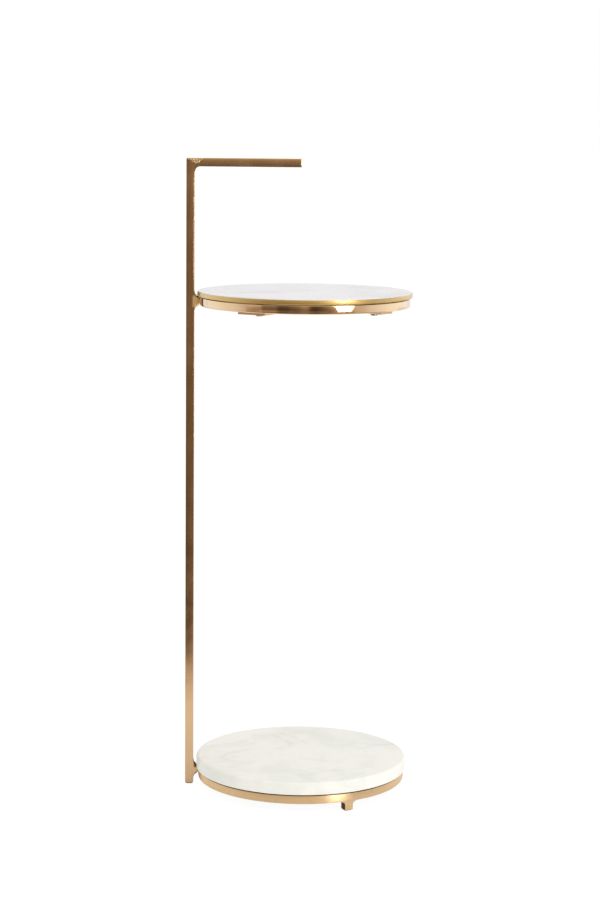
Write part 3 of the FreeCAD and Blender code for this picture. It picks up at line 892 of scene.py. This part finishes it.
make_post()
make_handle()
make_lug("upper_lug_cast", "upper_lug", "top_ring", "top_tray", filed=1.0)
make_lug("lower_lug_cast", "lower_lug", "base_ring", "base_stone", filed=0.0)
make_ring(
    "top_ring_polished", "top_ring", RING_BRASS,
    crown=0.15, heel=1.5, shade_band=(0.5, 0.05), shade_depth=0.48,
)
make_ring(
    "base_ring_polished", "base_ring", BASE_RING_BRASS,
    crown=0.4, heel=RING_EDGE, shade_band=(0.95, 0.5), shade_depth=0.94,
)
for end, angle in FEET:
    make_foot(f"{end}_foot_cast", f"{end}_foot", angle)
make_glides()
make_tray()
STONES = (make_top_stone(), make_base_stone())
for corner in CORNERS:
    make_cushion(corner)


# Small fixings keep their solids, with softened edges and their own metal.
FIXINGS = (
    ("top_tab", PLATE_BRASS, 0.3),
    ("base_tab", PLATE_BRASS, 0.3),
    ("tray_standoff", TURNED_BRASS, 0.2),
    ("base_insert", TURNED_BRASS, 0.2),
    ("tray_screw", SCREW_STEEL, 0.12),
    ("base_screw", SCREW_STEEL, 0.12),
)
JOIN_REACH = 0.002
SHARP_ANGLE = 40.0


def dress_node(node, material, edge):
    obj = NODES[node]
    obj.data.materials.clear()
    obj.data.materials.append(material)
    join = obj.modifiers.new("join", "WELD")
    join.merge_threshold = JOIN_REACH * MM
    soften = obj.modifiers.new("soften", "BEVEL")
    soften.width = edge * MM
    soften.segments = 3
    soften.limit_method = "ANGLE"
    soften.angle_limit = math.radians(SHARP_ANGLE)
    even_normals(obj)


for corner in CORNERS:
    for kind, metal, edge in FIXINGS:
        dress_node(f"{kind}_{corner}", metal, edge)


# The stage, in metres: a pale floor, a white surround, one softbox and the room that metal shows.


WHITE = (1.0, 1.0, 1.0, 1.0)
WORLD_LIGHT = 0.86
WORLD_SEEN = 1.0


def seen_directly(tree):
    """1 for rays from the camera and for mirror and glass rays, else 0."""
    path = tree.nodes.new("ShaderNodeLightPath")
    total = path.outputs["Is Camera Ray"]
    for name in ("Is Glossy Ray", "Is Transmission Ray"):
        both = tree.nodes.new("ShaderNodeMath")
        both.operation = "MAXIMUM"
        tree.links.new(total, both.inputs[0])
        tree.links.new(path.outputs[name], both.inputs[1])
        total = both.outputs["Value"]
    return total


def make_world():
    """White to look at, and a soft light from all round."""
    world = bpy.data.worlds.new("white_surround")
    bpy.context.scene.world = world
    world.use_nodes = True
    tree = world.node_tree
    tree.nodes.clear()
    pick = tree.nodes.new("ShaderNodeMixShader")
    tree.links.new(seen_directly(tree), pick.inputs["Fac"])
    for place, strength in ((1, WORLD_LIGHT), (2, WORLD_SEEN)):
        light = tree.nodes.new("ShaderNodeBackground")
        light.inputs["Color"].default_value = WHITE
        light.inputs["Strength"].default_value = strength
        tree.links.new(light.outputs["Background"], pick.inputs[place])
    out = tree.nodes.new("ShaderNodeOutputWorld")
    tree.links.new(pick.outputs["Shader"], out.inputs["Surface"])


def flat_object(name, verts, faces):
    mesh = bpy.data.meshes.new(name)
    mesh.from_pydata(verts, [], faces)
    obj = link_object(name, mesh)
    return obj


FLOOR_REACH = 40.0
FLOOR_GLOW = 1.1
EYE_SHARE = 0.86
MIRROR_SHARE = 0.25


def make_floor():
    """White to the eye, with the table's own shadow left in it, and deeper in reflections."""
    r = FLOOR_REACH
    corners = [(-r, -r, 0.0), (r, -r, 0.0), (r, r, 0.0), (-r, r, 0.0)]
    floor = flat_object("floor", corners, [(0, 1, 2, 3)])
    paint = Paint("floor_pale")
    grain = paint.noise(scale=60.0, detail=3.0)
    tone = paint.ramp(grain, (0.3, (0.91, 0.91, 0.91)), (0.7, (0.93, 0.93, 0.93)))
    matt = paint.add("ShaderNodeBsdfDiffuse", inputs={"Color": tone})
    glow = paint.add("ShaderNodeEmission", inputs={"Color": WHITE, "Strength": FLOOR_GLOW})
    path = paint.add("ShaderNodeLightPath")
    mirror = paint.math("MAXIMUM", path.outputs["Is Glossy Ray"], path.outputs["Is Transmission Ray"])
    eye = paint.times(path.outputs["Is Camera Ray"], EYE_SHARE)
    share = paint.plus(eye, paint.times(mirror, MIRROR_SHARE))
    sides = {"Fac": share, 1: matt.outputs["BSDF"], 2: glow.outputs["Emission"]}
    both = paint.add("ShaderNodeMixShader", inputs=sides)
    paint.add("ShaderNodeOutputMaterial", inputs={"Surface": both.outputs["Shader"]})
    paint.material.cycles.emission_sampling = "NONE"
    floor.data.materials.append(paint.material)


def card(name, verts, faces, tones, strength=1.0):
    """A reflector that only polished surfaces see, with a tone at each corner."""
    obj = flat_object(name, verts, faces)
    layer = obj.data.attributes.new("tone", "FLOAT_COLOR", "POINT")
    layer.data.foreach_set("color", np.array([(*tone, 1.0) for tone in tones], np.float32).ravel())
    paint = Paint(name)
    tone = paint.add("ShaderNodeAttribute", {"attribute_name": "tone"}).outputs["Color"]
    glow = paint.add("ShaderNodeEmission", inputs={"Color": tone, "Strength": strength})
    paint.add("ShaderNodeOutputMaterial", inputs={"Surface": glow.outputs["Emission"]})
    paint.material.cycles.emission_sampling = "NONE"
    obj.data.materials.append(paint.material)
    for ray in ("camera", "diffuse", "shadow", "transmission", "volume_scatter"):
        setattr(obj, f"visible_{ray}", False)
    return obj


def compass(angle, radius, height):
    """A point round the table; angle 0 is towards the camera and grows to the right."""
    turn = math.radians(angle)
    return (radius * math.sin(turn), -radius * math.cos(turn), height)


def grid_faces(rows, columns):
    starts = [r * columns + c for r in range(rows - 1) for c in range(columns - 1)]
    return [(a, a + 1, a + columns + 1, a + columns) for a in starts]


def round_card(name, angles, rows, centre=0.0):
    """A card round the upright axis at x = centre; a row is a radius, a height and its tones."""
    verts, tones = [], []
    for radius, height, shades in rows:
        verts += [(x + centre, y, z) for x, y, z in (compass(a, radius, height) for a in angles)]
        tones += shades
    card(name, verts, grid_faces(len(rows), len(angles)), tones)


# The room as polished metal shows it: brightness by compass angle, and how its dark lifts with height.
ROOM_RADIUS = 4.6
ROOM_COLUMNS = 251
ROOM_ROWS = 41
ROOM = (
    (-130.0, 0.97), (-110.0, 0.95), (-96.0, 0.87), (-84.0, 0.81), (-73.0, 0.70),
    (-62.0, 0.56), (-52.0, 0.43), (-47.5, 0.40), (-46.0, 0.20), (-32.0, 0.19),
    (-27.0, 0.085), (-18.0, 0.09), (-14.0, 0.14), (-8.0, 0.17), (-1.0, 0.28),
    (3.0, 0.27), (7.0, 0.08), (12.0, 0.07), (18.0, 0.13), (27.0, 0.28),
    (31.0, 0.40), (56.0, 0.60), (65.0, 0.65), (75.0, 0.80), (87.0, 0.90),
    (100.0, 1.0), (120.0, 1.07),
)
ROOM_LIFT = ((0.0, 0.80), (0.15, 0.80), (0.4, 0.95), (0.6, 1.27), (1.05, 1.5), (2.0, 1.7), (4.0, 1.9))
LIFT_LIMIT = 0.6
# The darker the room, the warmer it is.
WARM = np.array((1.0, 0.71, 0.50))
WARM_LEVELS = (0.25, 0.95)
# High up it is evener, and warm in front.
UPPER = ((-130.0, 0.55), (-60.0, 0.55), (-25.0, 1.0), (22.0, 1.35), (52.0, 0.25), (100.0, 0.25))
UPPER_START = (1.0, 2.2)
UPPER_FRONT = (-25.0, 25.0, 30.0)
UPPER_WARM = np.array((1.0, 0.84, 0.56))
# The floor in reflections: pale round the base with a warm border, then the room's tone, dimmed.
# Near the table it is darker on the softbox's side, and in a band far out in front it is lighter.
FLOOR_HEIGHT = 0.004
FLOOR_RIM = (
    (0.24, (1.02, 1.02, 1.02)),
    (0.40, (1.18, 1.16, 1.14)),
    (0.46, (1.00, 0.84, 0.68)),
    (0.53, (0.66, 0.41, 0.23)),
)
FLOOR_REACHES = (0.535, 1.2, 1.7, 2.4, 3.3, ROOM_RADIUS)
FLOOR_DIM = 0.78
FLOOR_SIDE = (
    (-80.0, 0.9), (-50.0, 1.0), (48.0, 1.0), (62.0, 0.30),
    (90.0, 0.30), (100.0, 0.36), (107.0, 0.80), (120.0, 1.1),
)
FLOOR_SIDE_END = (1.2, 1.7)
FLOOR_FAR = (
    (-56.0, 1.0), (-50.0, 1.3), (-45.0, 2.3), (-27.0, 2.5), (-16.0, 2.1),
    (-9.0, 1.3), (4.0, 1.1), (8.0, 2.9), (18.0, 2.0), (27.0, 1.0),
)
FLOOR_FAR_BAND = (2.4, 3.3, 0.7)
# The backdrop behind the table, lighter at its right end.
BACKDROP = np.array((0.88, 0.87, 0.885))
BACKDROP_LIFT = ((120.0, 1.2), (140.0, 1.2), (152.0, 1.0))
BACKDROP_ANGLES = (120.0, 230.0, 41)
BACKDROP_HEIGHT = 1.2
# The dark on the floor under the base: level by distance from the discs' axis.
SHADE = ((0.0, 0.05), (0.098, 0.06), (0.107, 0.10))
SHADE_TINT = np.array((1.0, 0.8, 0.65))
SHADE_HEIGHT = 0.0005
SHADE_COLUMNS = 49


def room_tone(angle, lift, even=0.0):
    """The room's colour at an angle; even runs from 0 low down to 1 high up."""
    level = look_up(ROOM, angle)
    if level < LIFT_LIMIT:
        level = min(LIFT_LIMIT, level * lift)
    warmth = 1.0 - float(smooth_step(level, *WARM_LEVELS))
    lower = level * (1.0 - warmth * (1.0 - WARM))
    facing = float(window(angle, *UPPER_FRONT))
    upper = look_up(UPPER, angle) * (1.0 - facing * (1.0 - UPPER_WARM))
    return tuple(lower + even * (upper - lower))


def wall_rows(angles):
    rows = []
    for z in np.linspace(0.0, ROOM_LIFT[-1][0], ROOM_ROWS):
        lift = look_up(ROOM_LIFT, z)
        even = float(smooth_step(z, *UPPER_START))
        rows.append((ROOM_RADIUS, z, [room_tone(a, lift, even) for a in angles]))
    return rows


def floor_rows(angles):
    rows = [(reach, FLOOR_HEIGHT, [tone] * len(angles)) for reach, tone in FLOOR_RIM]
    for reach in FLOOR_REACHES:
        near = 1.0 - float(smooth_step(reach, *FLOOR_SIDE_END))
        far = float(window(reach, *FLOOR_FAR_BAND))
        tones = []
        for a in angles:
            shade = 1.0 + near * (look_up(FLOOR_SIDE, a) - 1.0)
            shade += far * (look_up(FLOOR_FAR, a) - 1.0)
            tones.append(tuple(np.array(room_tone(a, FLOOR_DIM)) * shade))
        rows.append((reach, FLOOR_HEIGHT, tones))
    return rows


def make_room():
    angles = np.linspace(ROOM[0][0], ROOM[-1][0], ROOM_COLUMNS)
    round_card("room_wall", angles, wall_rows(angles))
    round_card("room_floor", angles, floor_rows(angles))
    turns = np.linspace(*BACKDROP_ANGLES)
    tones = [tuple(BACKDROP * look_up(BACKDROP_LIFT, a)) for a in turns]
    round_card("backdrop", turns, [(ROOM_RADIUS, z, tones) for z in (0.0, BACKDROP_HEIGHT)])
    turns = np.linspace(0.0, 360.0, SHADE_COLUMNS)
    rows = [(reach, SHADE_HEIGHT, [tuple(level * SHADE_TINT)] * len(turns)) for reach, level in SHADE]
    round_card("shade_under_base", turns, rows, DISC_X * MM)


# The softbox: an area light for the table, and its face as polished metal shows it. A row of the
# face is a height, its first and last angle and a level; the lean makes it brighter on the left.
KEY_ANGLE = 43.5
KEY_DISTANCE = 2.0
KEY_SIZE = (0.88, 1.4)
KEY_LEVEL = 3.4
KEY_FOOT = 0.215
KEY_GLARE = 7.2
KEY_COLUMNS = 9
KEY_LEAN = (1.9, 0.3)
KEY_FACE = (
    (KEY_FOOT, 36.0, 50.4, 1.0),
    (0.80, 31.0, 54.6, 1.0),
    (1.00, 29.6, 55.0, 0.13),
    (1.70, 26.0, 58.0, 0.13),
)


def make_key():
    light = bpy.data.lights.new("softbox", "AREA")
    light.shape = "RECTANGLE"
    light.size, light.size_y = KEY_SIZE
    light.energy = KEY_LEVEL * math.pi * KEY_SIZE[0] * KEY_SIZE[1]
    obj = link_object("softbox", light)
    place = Vector(compass(KEY_ANGLE, KEY_DISTANCE, KEY_FOOT + KEY_SIZE[1] / 2))
    away = Vector((place.x, place.y, 0.0)).normalized()
    obj.location = place
    obj.rotation_mode = "QUATERNION"
    obj.rotation_quaternion = away.to_track_quat("Z", "Y")
    obj.visible_camera = False
    obj.visible_glossy = False
    verts, tones = [], []
    for z, start, end, level in KEY_FACE:
        verts += [compass(a, KEY_DISTANCE, z) for a in np.linspace(start, end, KEY_COLUMNS)]
        tones += [(level * lean,) * 3 for lean in np.linspace(*KEY_LEAN, KEY_COLUMNS)]
    face = card("softbox_face", verts, grid_faces(len(KEY_FACE), KEY_COLUMNS), tones, KEY_GLARE)
    face.active_material.cycles.emission_sampling = "FRONT_BACK"
    keep_off_stones(face)


def keep_off_stones(face):
    """Flag the softbox's face off the marble, which shows the room behind it instead."""
    tree = face.active_material.node_tree
    glow = next(n for n in tree.nodes if n.type == "EMISSION")
    out = next(n for n in tree.nodes if n.type == "OUTPUT_MATERIAL")
    clear = tree.nodes.new("ShaderNodeBsdfTransparent")
    both = tree.nodes.new("ShaderNodeAddShader")
    tree.links.new(glow.outputs["Emission"], both.inputs[0])
    tree.links.new(clear.outputs["BSDF"], both.inputs[1])
    tree.links.new(both.outputs["Shader"], out.inputs["Surface"])
    flag = bpy.data.collections.new("out_of_glare")
    for stone in STONES:
        flag.objects.link(stone)
    for member in flag.collection_objects:
        member.light_linking.link_state = "EXCLUDE"
    face.light_linking.receiver_collection = flag


# The camera, as fitted to the photograph. It turns by yaw, pitch and roll.
CAMERA_TURN = (-0.0014, math.radians(8.307), 0.0095)
CAMERA_PLACE = (0.00534, -2.39735, 0.70868)
CAMERA_LENS = 92.97
CAMERA_SENSOR = 36.0
CAMERA_CLIP = (0.01, 200.0)


def make_camera():
    yaw, pitch, roll = CAMERA_TURN
    ahead = Vector((math.sin(yaw) * math.cos(pitch), math.cos(yaw) * math.cos(pitch), -math.sin(pitch)))
    level = Vector((math.cos(yaw), -math.sin(yaw), 0.0))
    rise = level.cross(ahead)
    right = level * math.cos(roll) + rise * math.sin(roll)
    up = rise * math.cos(roll) - level * math.sin(roll)
    lens = bpy.data.cameras.new("camera")
    lens.lens = CAMERA_LENS
    lens.sensor_width = CAMERA_SENSOR
    lens.clip_start, lens.clip_end = CAMERA_CLIP
    obj = link_object("camera", lens)
    pose = Matrix((right, up, -ahead)).transposed().to_4x4()
    pose.translation = Vector(CAMERA_PLACE)
    obj.matrix_world = pose
    bpy.context.scene.camera = obj


make_world()
make_floor()
make_room()
make_key()
make_camera()
bpy.context.scene.view_settings.view_transform = "Standard"

bpy.context.view_layer.update()
